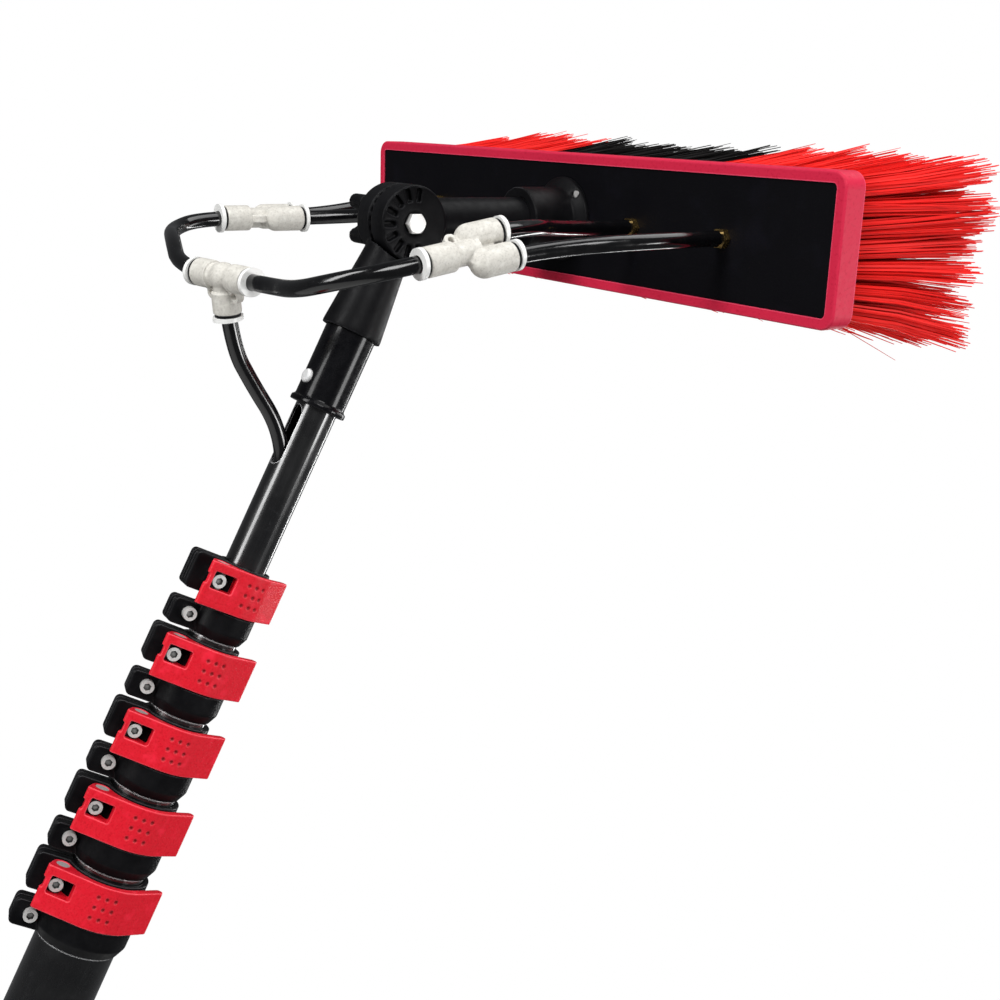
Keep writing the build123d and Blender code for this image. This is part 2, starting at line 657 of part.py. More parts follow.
def black_zone():
    """The part of the field that the top row's middle tufts fill; local -Y is the brush's top."""
    low = PLATE_FACE + TRIM_DEPTH
    top = -(BRUSH_WIDTH / 2 - TRIM_WIDTH - BRISTLE_MARGIN)
    edge = top + BLACK_ROW
    side = Plane.YZ * Polygon(
        (edge, low - 1), (edge, low), (edge - BRISTLE_FLARE * BLACK_LEAN, low + BRISTLE_LENGTH + 1),
        (top - 3 * BRISTLE_FLARE, low + BRISTLE_LENGTH + 1), (top - 3 * BRISTLE_FLARE, low - 1),
        align=None,
    )
    return extrude(side, BLACK_HALF, both=True)


def bristles_black():
    return HEAD.location * (bristle_field() & black_zone())


def bristles_red():
    return HEAD.location * (bristle_field() - black_zone())


def jet(x):
    """A brass fan jet through the plate, with a hex collar and a barb for the hose."""
    plate = PLATE_FACE + PLATE_INSET
    collar = Plane(origin=(0, 0, plate - JET_HEX_T)) * RegularPolygon(JET_HEX_R, 6)
    body = extrude(collar, JET_HEX_T) + rod(JET_SHANK_R, plate, PLATE_FACE + TRIM_DEPTH)
    body += rod(HOSE_BORE / 2, plate - JET_HEX_T - JET_BARB_LENGTH, plate - JET_HEX_T)
    return HEAD.location * (Pos(x, 0, 0) * (body - rod(JET_BORE_R, 0, PLATE_FACE + 2 * TRIM_DEPTH)))


def flange_screw_places():
    angles = [radians(45 + 90 * i) for i in range(4)]
    return [Pos(FLANGE_SCREW_CIRCLE * cos(a), FLANGE_SCREW_CIRCLE * sin(a), 0) for a in angles]


def flange_screws():
    seat = PLATE_FACE + PLATE_INSET - FLARE_FOOT
    head = rod(FLANGE_SCREW_R, seat - FLANGE_SCREW_T, seat)
    return [HEAD.location * (place * head) for place in flange_screw_places()]


# ---------------------------------------------------------------- fittings and release rings

def turned(rise, turn):
    """Unit vector that starts along +X, lifted by rise and swung about Z by turn."""
    rise, turn = radians(rise), radians(turn)
    return Vector(cos(rise) * cos(turn), cos(rise) * sin(turn), sin(rise))


def tee_ports():
    through = turned(TEE_THROUGH_RISE, TEE_THROUGH_TURN)
    branch = (TEE_BRANCH - through * TEE_BRANCH.dot(through)).normalized()
    centre = PIVOT + TEE_CENTRE
    return {
        "right": (centre, through, branch),
        "left": (centre, through * -1, branch),
        "branch": (centre, branch, through),
    }


def y_axes(side):
    centre, rise, roll, inner = Y_FITTINGS[side]
    along = Vector(0, cos(radians(rise)), sin(radians(rise)))
    across = Vector(1, 0, 0)
    up = along.cross(across) * -1
    across = across * cos(radians(roll)) - up * sin(radians(roll))
    return PIVOT + centre, along, across * inner


def y_ports(side):
    """The inlet, and the two outlets; the outer one is on the side away from the pole."""
    centre, along, across = y_axes(side)
    return {
        "inlet": (centre, along * -1, across),
        "inner": (centre - across * Y_SPREAD, along, across),
        "outer": (centre + across * Y_SPREAD, along, across),
    }


def port_plane(port):
    origin, direction, across = port
    return Plane(origin=origin, x_dir=across, z_dir=direction)


def port_bore(reach, seat):
    mouth = rod(MOUTH_R, reach - MOUTH_DEPTH, reach + 1)
    return mouth + rod(HOSE_OD / 2 + HOSE_GRIP, seat, reach) + rod(FLOW_R, 0, seat)


def barrel(low, reach):
    body = rod(BARREL_R, low, reach)
    rim = body.edges().filter_by(GeomType.CIRCLE).sort_by(Axis.Z)[-1]
    return fillet(rim, BARREL_EDGE)


def screw_tab(centre, normal):
    return Plane(origin=centre, z_dir=normal).location * rod(TAB_R, -TAB_T / 2, TAB_T / 2)


def tab_hole(centre, normal):
    return Plane(origin=centre, z_dir=normal).location * rod(TAB_HOLE_R, -TAB_T, TAB_T)


def tee_body():
    ports = tee_ports()
    centre, through, branch = ports["right"]
    normal = through.cross(branch)
    body = Pos(centre) * Sphere(BARREL_R)
    for port in ports.values():
        body += port_plane(port).location * (rod(WAIST_R, 0, TEE_REACH) + barrel(BARREL_R, TEE_REACH))
    tab_out, tab_down = TEE_TAB
    tabs = [centre + branch * tab_down + through * side * tab_out for side in (-1, 1)]
    for tab in tabs:
        body += screw_tab(tab, normal)
    for port in ports.values():
        body -= port_plane(port).location * port_bore(TEE_REACH, TEE_SEAT)
    for tab in tabs:
        body -= tab_hole(tab, normal)
    return body


def y_body(side):
    ports = y_ports(side)
    centre, along, across = y_axes(side)
    normal = along.cross(across)
    hub = Plane(origin=centre, x_dir=across, z_dir=along).location
    gallery = Y_SEAT - FLOW_R - 1
    tab = centre - across * (Y_SPREAD + SOFT_GAP) - along * TAB_R
    outlets = [port_plane(ports[name]).location for name in ("inner", "outer")]
    body = hub * rod(WAIST_R, -BARREL_R - 2, BARREL_R)
    body += hub * block((-Y_SPREAD, -TAB_T / 2, -1), (Y_SPREAD, TAB_T / 2, Y_REACH - Y_ROOT))
    body += port_plane(ports["inlet"]).location * barrel(BARREL_R, Y_REACH)
    for outlet in outlets:
        bulb = Pos(0, 0, Y_OUTLET_R) * Sphere(BARREL_R)
        body += outlet * (bulb + barrel(Y_OUTLET_R, Y_REACH))
    body += screw_tab(tab, normal)
    body -= port_plane(ports["inlet"]).location * port_bore(Y_REACH, Y_SEAT)
    body -= Plane(origin=centre + along * gallery, z_dir=across).location * rod(FLOW_R, -Y_SPREAD, Y_SPREAD)
    body -= hub * rod(FLOW_R, -1, gallery)
    for outlet in outlets:
        bore = port_bore(Y_REACH, Y_SEAT) - rod(FLOW_R + 1, -1, gallery)
        body -= outlet * bore
    return body - tab_hole(tab, normal)


def release_ring(port, reach):
    sleeve = rod(MOUTH_R - RUNNING_FIT, reach - RING_SLEEVE, reach + RING_GAP)
    oval = Ellipse(RING_SHORT, RING_LONG)
    flange = Pos(0, 0, reach + RING_GAP) * extrude(oval, RING_FLANGE)
    bore = rod(HOSE_OD / 2 + RUNNING_FIT, 0, reach + 10)
    return port_plane(port).location * (sleeve + flange - bore)


# ---------------------------------------------------------------- hoses

def seat_point(port, distance):
    origin, direction, _ = port
    return origin + direction * distance


def jet_point(x, distance):
    return HEAD.from_local_coords(Vector(x, 0, distance))


def hose(name, points):
    """A tube of straight runs joined by arcs as large as the runs allow."""
    points = [Vector(*p) for p in points]
    runs = [b - a for a, b in zip(points, points[1:])]
    radii = []
    for a, b in zip(runs, runs[1:]):
        turn = a.get_angle(b)
        radii.append(ARC_SHARE * min(a.length, b.length) / tan(radians(turn / 2)))
    path = FilletPolyline(*points, radius=radii)
    start = Plane(origin=points[0], z_dir=runs[0])
    ring = Circle(HOSE_OD / 2) - Circle(HOSE_BORE / 2)
    body = sweep(start * ring, path)
    section = pi * (HOSE_OD ** 2 - HOSE_BORE ** 2) / 4
    share = body.volume / (section * path.length)
    print(f"{name}: {path.length:.0f} mm, runs {[round(r.length) for r in runs]},"
          f" radii {[round(r) for r in radii]}, volume share {share:.4f}")
    return body


def from_pivot(points):
    return [PIVOT + Vector(*p) for p in points]


def link_hose(side, middle):
    start = tee_ports()[side]
    end = y_ports(side)["inlet"]
    points = [seat_point(start, TEE_SEAT), seat_point(start, TEE_SEAT + HOSE_STRAIGHT)]
    points += from_pivot(middle)
    points += [seat_point(end, Y_SEAT + HOSE_STRAIGHT), seat_point(end, Y_SEAT)]
    return hose(f"link_hose_{side}", points)


def jet_hose(side, name, x):
    start = y_ports(side)[name]
    collar = PLATE_FACE + PLATE_INSET - JET_HEX_T
    points = [seat_point(start, Y_SEAT), seat_point(start, Y_SEAT + HOSE_STRAIGHT)]
    points += [jet_point(x, JET_STANDOFF), jet_point(x, collar)]
    return hose(f"jet_hose_{side}_{name}", points)


def pole_hose():
    start = tee_ports()["branch"]
    points = [seat_point(start, TEE_SEAT), seat_point(start, TEE_SEAT + HOSE_STRAIGHT)]
    points += from_pivot(POLE_DROP)
    points.append(Vector(0, 0, POLE_HOSE_END))
    return hose("pole_hose", points)


def hose_connector():
    """The male end fitting on the pole hose, lying inside the butt plug's hole."""
    shoulder = CONNECTOR_LOW + CONNECTOR_NOSE
    body = rod(CONNECTOR_R, shoulder, CONNECTOR_HIGH) + rod(CONNECTOR_NOSE_R, CONNECTOR_LOW, shoulder)
    body -= rod(HOSE_OD / 2, POLE_HOSE_END, CONNECTOR_HIGH + 1)
    return body - rod(FLOW_R, CONNECTOR_LOW - 1, POLE_HOSE_END)


# ---------------------------------------------------------------- write every node

for number in range(1, SECTIONS):
    save(f"tube_{number}", tube(number), guide_bush(number))
    save(f"clamp_{number}_body", clamp_body(number))
    save(f"clamp_{number}_lever", lever(number))
    save(f"clamp_{number}_screws", *clamp_screws(number))
save("base_tube", tube(SECTIONS))
save("butt_plug", butt_plug())
save("adapter_sleeve", adapter_sleeve())
save("spring_button", spring_button())
save("button_spring", button_spring())
save("lower_arm", lower_arm())
save("upper_arm", upper_arm())
save("pivot_bolt", pivot_bolt())
save("pivot_washer", pivot_washer())
save("knob", knob())
save("knob_insert", knob_insert())
save("brush_socket", brush_socket())
save("flange_screws", *flange_screws())
save("brush_trim", brush_trim())
save("back_plate", back_plate())
save("brush_block", brush_block())
save("bristles_red", bristles_red())
save("bristles_black", bristles_black())
save("jets", *[jet(x) for x in jet_places()])
save("tee_body", tee_body())
for port_name, port in tee_ports().items():
    save(f"tee_ring_{port_name}", release_ring(port, TEE_REACH))
for side_name, link in (("right", LINK_RIGHT), ("left", LINK_LEFT)):
    save(f"y_body_{side_name}", y_body(side_name))
    for port_name, port in y_ports(side_name).items():
        save(f"y_ring_{side_name}_{port_name}", release_ring(port, Y_REACH))
    save(f"link_hose_{side_name}", link_hose(side_name, link))
    inner = Y_FITTINGS[side_name][3]
    save(f"jet_hose_{side_name}_inner", jet_hose(side_name, "inner", inner * JET_INNER))
    save(f"jet_hose_{side_name}_outer", jet_hose(side_name, "outer", inner * JET_OUTER))
save("pole_hose", pole_hose())
save("hose_connector", hose_connector())
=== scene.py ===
import json
import math
import random

import bmesh
import bpy
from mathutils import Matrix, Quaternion, Vector


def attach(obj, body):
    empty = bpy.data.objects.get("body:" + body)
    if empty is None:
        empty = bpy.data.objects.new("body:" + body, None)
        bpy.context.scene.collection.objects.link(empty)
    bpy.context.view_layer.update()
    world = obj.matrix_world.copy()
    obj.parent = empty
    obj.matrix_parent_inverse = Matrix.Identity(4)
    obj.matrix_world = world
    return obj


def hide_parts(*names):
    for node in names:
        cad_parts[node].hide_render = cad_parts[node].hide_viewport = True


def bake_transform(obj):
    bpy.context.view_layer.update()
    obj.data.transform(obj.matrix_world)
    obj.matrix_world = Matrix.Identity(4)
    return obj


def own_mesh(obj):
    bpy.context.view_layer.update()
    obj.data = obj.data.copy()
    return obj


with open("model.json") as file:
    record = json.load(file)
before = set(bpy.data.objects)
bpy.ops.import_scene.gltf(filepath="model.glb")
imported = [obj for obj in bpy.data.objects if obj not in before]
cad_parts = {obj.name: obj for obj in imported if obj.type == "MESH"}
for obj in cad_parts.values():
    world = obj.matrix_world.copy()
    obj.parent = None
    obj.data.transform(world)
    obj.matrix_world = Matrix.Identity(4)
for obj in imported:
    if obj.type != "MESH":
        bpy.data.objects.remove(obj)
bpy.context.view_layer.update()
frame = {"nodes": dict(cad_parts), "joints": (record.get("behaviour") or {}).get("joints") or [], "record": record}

# Metres, in the row frame: +Z up the pole, X along the tilt axis and the brush, bristles towards +Y.
MM = 0.001
JOINTS = {joint["name"]: joint for joint in frame["joints"]}
PIVOT = Vector(JOINTS["head_tilt"]["pos_m"])
HEAD_TILT = math.radians(28.0)
ALONG = Vector((0, math.cos(HEAD_TILT), math.sin(HEAD_TILT)))      # from the pivot to the bristles' tips
UP = Vector((0, -math.sin(HEAD_TILT), math.cos(HEAD_TILT)))        # up the brush's back plate


def from_pivot(x, y, z):
    return PIVOT + Vector((x, y, z))


def on_head(x, up, along):
    """A point of the brush, from the pivot: across, up its back plate and out along the arm."""
    return PIVOT + Vector((x, 0, 0)) + UP * up + ALONG * along


def add_object(name, data):
    made = bpy.data.objects.new(name, data)
    bpy.context.scene.collection.objects.link(made)
    return made


# ---------------------------------------------------------------- camera

CAMERA_PLACE = (0.596871, -0.353720, -0.127648)     # from the pivot
CAMERA_AZIMUTH = math.radians(50.568)
CAMERA_ELEVATION = math.radians(-1.383)
CAMERA_ROLL = math.radians(24.14)
LENS, SENSOR = 47.71, 36.0                          # millimetres


def make_camera():
    """Close to the head, nearly level and rolled, so that the pole leans across the picture."""
    back = Vector((
        math.sin(CAMERA_AZIMUTH) * math.cos(CAMERA_ELEVATION),
        -math.cos(CAMERA_AZIMUTH) * math.cos(CAMERA_ELEVATION),
        math.sin(CAMERA_ELEVATION),
    ))
    data = bpy.data.cameras.new("camera")
    data.sensor_width = SENSOR
    data.lens = LENS
    data.clip_start = 0.01
    data.clip_end = 100.0
    camera = add_object("camera", data)
    camera.rotation_mode = "QUATERNION"
    camera.location = from_pivot(*CAMERA_PLACE)
    camera.rotation_quaternion = (-back).to_track_quat("-Z", "Y") @ Quaternion((0, 0, 1), CAMERA_ROLL)
    bpy.context.scene.camera = camera


make_camera()


# ---------------------------------------------------------------- materials

COAT_ROUGHNESS = 0.12
NOISE_ROUGHNESS = 0.55
WEAR_R = 0.6 * MM          # how far handling wears a moulded edge
SOCKET_REACH = 4.5 * MM    # across a screw's socket


class Shader:
    """A Principled material whose colour, roughness and bump are built up from procedural layers."""

    def __init__(self, name, colour, roughness, metallic=0.0, specular=0.5, coat=0.0):
        self.material = bpy.data.materials.new(name)
        self.material.use_nodes = True
        self.tree = self.material.node_tree
        self.bsdf = self.tree.nodes["Principled BSDF"]
        self.bsdf.inputs["Base Color"].default_value = (*colour, 1)
        self.bsdf.inputs["Roughness"].default_value = roughness
        self.bsdf.inputs["Metallic"].default_value = metallic
        self.bsdf.inputs["Specular IOR Level"].default_value = specular
        self.bsdf.inputs["Coat Weight"].default_value = coat
        self.bsdf.inputs["Coat Roughness"].default_value = COAT_ROUGHNESS
        self.colour = colour
        self.roughness = roughness
        self.colour_out = None
        self.normal_out = None
        self.places = self.node("ShaderNodeTexCoord").outputs["Object"]

    def node(self, kind, **values):
        made = self.tree.nodes.new(kind)
        for key, value in values.items():
            setattr(made, key, value)
        return made

    def join(self, out, into):
        self.tree.links.new(out, into)

    def noise(self, scale, detail=4.0, stretch=(1, 1, 1)):
        """Noise with scale cells per metre, each as long as stretch says along an axis."""
        mapping = self.node("ShaderNodeMapping")
        mapping.inputs["Scale"].default_value = tuple(scale / s for s in stretch)
        self.join(self.places, mapping.inputs["Vector"])
        texture = self.node("ShaderNodeTexNoise")
        texture.inputs["Scale"].default_value = 1.0
        texture.inputs["Detail"].default_value = detail
        texture.inputs["Roughness"].default_value = NOISE_ROUGHNESS
        self.join(mapping.outputs["Vector"], texture.inputs["Vector"])
        return texture.outputs["Fac"]

    def ramp(self, out, low, high, dark=0.0, light=1.0):
        """out, stretched from low..high to dark..light."""
        made = self.node("ShaderNodeMapRange")
        made.interpolation_type = "SMOOTHSTEP"
        for key, value in (("From Min", low), ("From Max", high), ("To Min", dark), ("To Max", light)):
            made.inputs[key].default_value = value
        self.join(out, made.inputs["Value"])
        return made.outputs["Result"]

    def tint(self, factor, colour):
        """Mixes in another colour where factor is 1."""
        mix = self.node("ShaderNodeMix", data_type="RGBA")
        self.join(factor, mix.inputs["Factor"])
        if self.colour_out is None:
            mix.inputs["A"].default_value = (*self.colour, 1)
        else:
            self.join(self.colour_out, mix.inputs["A"])
        mix.inputs["B"].default_value = (*colour, 1)
        self.colour_out = mix.outputs["Result"]
        self.join(self.colour_out, self.bsdf.inputs["Base Color"])

    def vary_roughness(self, factor, amount):
        """Roughness from its own value less amount to the value plus amount."""
        varied = self.ramp(factor, 0.25, 0.75, self.roughness - amount, self.roughness + amount)
        self.join(varied, self.bsdf.inputs["Roughness"])

    def bump(self, height, depth):
        """Small relief, depth metres from its lows to its highs."""
        made = self.node("ShaderNodeBump")
        made.inputs["Distance"].default_value = depth
        made.inputs["Strength"].default_value = 1.0
        self.join(height, made.inputs["Height"])
        if self.normal_out is not None:
            self.join(self.normal_out, made.inputs["Normal"])
        self.normal_out = made.outputs["Normal"]
        self.join(self.normal_out, self.bsdf.inputs["Normal"])

    def edges(self, radius, sharp=0.06):
        """1 within radius of sharp edges; on the moulded plastics its tint is handling wear, on the tube, levers
        and trim a painted highlight. A smaller sharp takes in softer ones.
        """
        bevel = self.node("ShaderNodeBevel")
        bevel.inputs["Radius"].default_value = radius
        flat = self.node("ShaderNodeNewGeometry")
        dot = self.node("ShaderNodeVectorMath", operation="DOT_PRODUCT")
        self.join(bevel.outputs["Normal"], dot.inputs[0])
        self.join(flat.outputs["Normal"], dot.inputs[1])
        return self.ramp(dot.outputs["Value"], 1.0, 1.0 - sharp)

    def cavity_shade(self, reach):
        """1 deep in holes and seams no wider than about reach, where shade falls: a tint on it is painted shade.
        """
        hidden = self.node("ShaderNodeAmbientOcclusion")
        hidden.inputs["Distance"].default_value = reach
        return self.ramp(hidden.outputs["AO"], 0.25, 0.7, 1.0, 0.0)

    def attribute(self, name):
        """A value that the mesh carries at its points."""
        return self.node("ShaderNodeAttribute", attribute_name=name).outputs["Fac"]


def plastic(name, colour, roughness, grain, worn, specular=0.08, coat=0.0):
    """Moulded plastic: cloudy tone, fine grain, and edges that show lighter."""
    shader = Shader(name, colour, roughness, specular=specular, coat=coat)
    cloudy = shader.ramp(shader.noise(70), 0.35, 0.7)
    shader.tint(cloudy, tuple(c * 1.35 + 0.002 for c in colour))
    shader.tint(shader.edges(WEAR_R), worn)
    shader.vary_roughness(shader.noise(320), 0.08)
    shader.bump(shader.noise(1800, 2.0), grain)
    return shader


def tube_finish():
    """Black anodised tube under a clear coat, with faint draw lines along it."""
    shader = Shader("tube_black", (0.002, 0.002, 0.0024), 0.28, specular=0.5, coat=1.0)
    lines = shader.noise(2600, 3.0, stretch=(1, 1, 90))
    shader.tint(shader.ramp(lines, 0.5, 0.8), (0.007, 0.007, 0.008))
    scuffs = shader.ramp(shader.noise(240, 6.0), 0.62, 0.8)
    shader.tint(scuffs, (0.014, 0.014, 0.015))
    # painted highlight: a pale line along sharp edges, such as the hose slot's
    shader.tint(shader.edges(0.9 * MM, 0.1), (0.55, 0.55, 0.56))
    shader.vary_roughness(shader.noise(60), 0.07)
    shader.bump(lines, 0.02 * MM)
    return shader


def lever_finish():
    """Bright red nylon with a pebbled grain, painted shade in its dimples and a painted highlight along its edges.
    """
    shader = Shader("lever_red", (0.67, 0.009, 0.023), 0.44, specular=0.25)
    blotch = shader.ramp(shader.noise(950, 3.0), 0.48, 0.7)
    shader.tint(blotch, (0.56, 0.005, 0.015))
    pale = shader.ramp(shader.noise(130, 2.0), 0.52, 0.75)
    shader.tint(pale, (0.80, 0.016, 0.040))
    # painted highlight: paler along the edges
    shader.tint(shader.edges(0.7 * MM, 0.05), (0.95, 0.11, 0.15))
    # painted shade: dark in the dimples
    shader.tint(shader.attribute("dimple"), (0.22, 0.001, 0.004))
    shader.vary_roughness(shader.noise(500), 0.1)
    shader.bump(shader.noise(1100, 3.0), 0.12 * MM)
    return shader


def fitting_finish():
    """Off-white glass-filled nylon, mottled grey, with paler edges and painted shade in its seams."""
    shader = Shader("fitting_grey", (0.60, 0.58, 0.53), 0.46, specular=0.4)
    shader.tint(shader.ramp(shader.noise(1000, 6.0), 0.45, 0.75), (0.45, 0.435, 0.395))
    shader.tint(shader.ramp(shader.noise(300, 3.0), 0.45, 0.75), (0.70, 0.685, 0.63))
    shader.tint(shader.edges(WEAR_R, 0.08), (0.88, 0.87, 0.83))
    # painted shade: dark deep in seams and between the branches
    shader.tint(shader.cavity_shade(2.4 * MM), (0.06, 0.055, 0.05))
    shader.vary_roughness(shader.noise(700), 0.12)
    shader.bump(shader.noise(1100, 4.0), 0.1 * MM)
    return shader


def ring_finish():
    """White acetal of the release rings, smoother than the fittings."""
    shader = Shader("ring_white", (0.86, 0.86, 0.84), 0.32, specular=0.5)
    shader.tint(shader.ramp(shader.noise(600, 3.0), 0.55, 0.75), (0.74, 0.74, 0.72))
    shader.vary_roughness(shader.noise(500), 0.06)
    shader.bump(shader.noise(1500, 2.0), 0.02 * MM)
    return shader


def hose_finish():
    """Polyurethane hose: glossy, with long faint ripples from extrusion."""
    shader = Shader("hose_black", (0.002, 0.002, 0.0025), 0.17, specular=0.5, coat=0.3)
    shader.tint(shader.ramp(shader.noise(500, 5.0), 0.6, 0.8), (0.009, 0.009, 0.01))
    shader.vary_roughness(shader.noise(160), 0.08)
    shader.bump(shader.noise(220, 2.0), 0.06 * MM)
    return shader


def trim_finish():
    """Crimson rubber bumper, satin, with a fine grain."""
    shader = Shader("trim_rubber", (0.60, 0.018, 0.057), 0.5, specular=0.15)
    shader.tint(shader.ramp(shader.noise(620, 4.0), 0.5, 0.75), (0.50, 0.011, 0.040))
    # painted highlight: paler along the edges
    shader.tint(shader.edges(1.0 * MM, 0.08), (0.84, 0.09, 0.17))
    shader.vary_roughness(shader.noise(300), 0.08)
    shader.bump(shader.noise(1300, 3.0), 0.05 * MM)
    return shader


def plate_finish():
    """Black back plate with a fine leather-like grain."""
    shader = Shader("plate_black", (0.0012, 0.0011, 0.0022), 0.66, specular=0.09)
    shader.tint(shader.ramp(shader.noise(38, 4.0), 0.5, 0.75), (0.0028, 0.0026, 0.0052))
    shader.tint(shader.ramp(shader.noise(1400, 3.0), 0.62, 0.8), (0.006, 0.006, 0.008))
    shader.vary_roughness(shader.noise(90), 0.08)
    shader.bump(shader.noise(1500, 3.0), 0.08 * MM)
    return shader


def metal_finish(name, colour, roughness, tarnish, metallic=1.0):
    """Plated metal with cloudy tarnish and painted shade in its sockets; a lower metallic is a duller plating."""
    shader = Shader(name, colour, roughness, metallic=metallic)
    shader.tint(shader.ramp(shader.noise(700, 4.0), 0.55, 0.78), tarnish)
    # painted shade: dark deep in the sockets
    shader.tint(shader.cavity_shade(SOCKET_REACH), tuple(0.03 * c for c in colour))
    shader.vary_roughness(shader.noise(900), 0.08)
    shader.bump(shader.noise(2200, 2.0), 0.02 * MM)
    return shader


def bristle_finish(name, tip, root):
    """Nylon filament: each strand has its own tone, darker at its root where no light reaches."""
    shader = Shader(name, tip, 0.5, specular=0.05)
    shader.tint(shader.attribute("tone"), tuple(0.74 * c for c in tip))
    shader.tint(shader.ramp(shader.attribute("depth"), 0.0, 0.3, 0.6, 0.0), root)
    return shader


BLACK = (0.0034, 0.0034, 0.004)
SLEEVE_BLACK = (0.0022, 0.0022, 0.003)
STEEL = (0.90, 0.89, 0.87)
BRIGHT_STEEL = (0.95, 0.94, 0.92)
BRASS = (0.83, 0.56, 0.20)
WHITE = (0.85, 0.85, 0.85)
FINISHES = {               # material slot of the record: its finish
    "tube_black": tube_finish(),
    "lever_red": lever_finish(),
    "screw_steel": metal_finish("screw_steel", STEEL, 0.34, (0.66, 0.65, 0.63), 0.55),
    "clamp_black": plastic("clamp_black", BLACK, 0.38, 0.05 * MM, (0.085, 0.085, 0.09)),
    "sleeve_black": plastic(
        "sleeve_black", SLEEVE_BLACK, 0.27, 0.02 * MM, (0.02, 0.02, 0.022), coat=0.25
    ),
    "arm_black": plastic("arm_black", BLACK, 0.42, 0.06 * MM, (0.07, 0.07, 0.075)),
    "knob_black": plastic("knob_black", BLACK, 0.42, 0.06 * MM, (0.03, 0.03, 0.033)),
    "bright_steel": metal_finish("bright_steel", BRIGHT_STEEL, 0.42, (0.84, 0.83, 0.81), 0.7),
    "button_white": plastic("button_white", WHITE, 0.25, 0.01 * MM, (0.95, 0.95, 0.95)),
    "trim_rubber": trim_finish(),
    "plate_black": plate_finish(),
    "bristle_red": bristle_finish("bristle_red", (1.0, 0.03, 0.026), (0.45, 0.006, 0.006)),
    "bristle_black": bristle_finish("bristle_black", (0.006, 0.005, 0.005), (0.002, 0.002, 0.002)),
    "brass": metal_finish("brass", BRASS, 0.22, (0.50, 0.30, 0.09)),
    "fitting_grey": fitting_finish(),
    "ring_white": ring_finish(),
    "hose_black": hose_finish(),
}


def paint(piece, slot):
    piece.data.materials.clear()
    piece.data.materials.append(FINISHES[slot].material)


def add_piece(name, data, slot):
    """A new visible piece with its record slot's finish; it still has to ride on a body."""
    piece = add_object(name, data)
    paint(piece, slot)
    return piece


def finish_nodes():
    """Every CAD node takes its record slot's finish."""
    for subpart in frame["record"]["subparts"]:
        paint(frame["nodes"][subpart["node"]], subpart["material_slot"])


finish_nodes()


# ---------------------------------------------------------------- soft edges on moulded pieces

CLAMPS = range(1, 6)
MOULDED = {                # CAD node: voxel size in millimetres
    "lower_arm": 0.55, "upper_arm": 0.55, "brush_socket": 0.6, "knob": 0.5, "adapter_sleeve": 0.6,
    "tee_body": 0.4, "y_body_right": 0.4, "y_body_left": 0.4,
}
MOULDED.update({f"clamp_{k}_body": 0.38 for k in CLAMPS})
MOULDED.update({f"clamp_{k}_lever": 0.4 for k in CLAMPS})
SMOOTH_ROUNDS = 5


def soften(node, voxel):
    """Rounds the moulded edges of a CAD node with modifiers, which leave its mesh as it is."""
    piece = frame["nodes"][node]
    remesh = piece.modifiers.new("mould", "REMESH")
    remesh.mode = "VOXEL"
    remesh.voxel_size = voxel * MM
    remesh.use_smooth_shade = True
    smooth = piece.modifiers.new("soft_edges", "SMOOTH")
    smooth.factor = 0.5
    smooth.iterations = SMOOTH_ROUNDS


DIMPLE_R = 1.35 * MM
DIMPLE_FLAT = 0.35                      # of the radius: its flat floor
DIMPLE_DEPTH = 0.6 * MM
DIMPLE_TURN = math.radians(66)          # middle column, round the pole from the lever's hinge
DIMPLE_PITCH = 4.6 * MM                 # from column to column
DIMPLE_ROWS = (6.2 * MM, 11.6 * MM, 17.0 * MM)      # up from the lever's lower edge


def dimple_spokes(clamp):
    """A line through the lever's wall at the middle of each dimple; the object is never in the scene."""
    lever = frame["nodes"][f"clamp_{clamp}_lever"]
    hinge = Vector(JOINTS[f"lever_{clamp}_swing"]["pos_m"])
    base = min(corner.co.z for corner in lever.data.vertices)
    reach = 2 * hinge.xy.length
    middle = math.atan2(hinge.y, hinge.x) + DIMPLE_TURN
    mesh = bpy.data.meshes.new(f"lever_{clamp}_spokes")
    ends = []
    for column in (-1, 0, 1):
        angle = middle + column * DIMPLE_PITCH / hinge.xy.length
        for row in DIMPLE_ROWS:
            ends.append((0, 0, base + row))
            ends.append((reach * math.cos(angle), reach * math.sin(angle), base + row))
    mesh.from_pydata(ends, [(i, i + 1) for i in range(0, len(ends), 2)], [])
    return bpy.data.objects.new(f"lever_{clamp}_spokes", mesh)


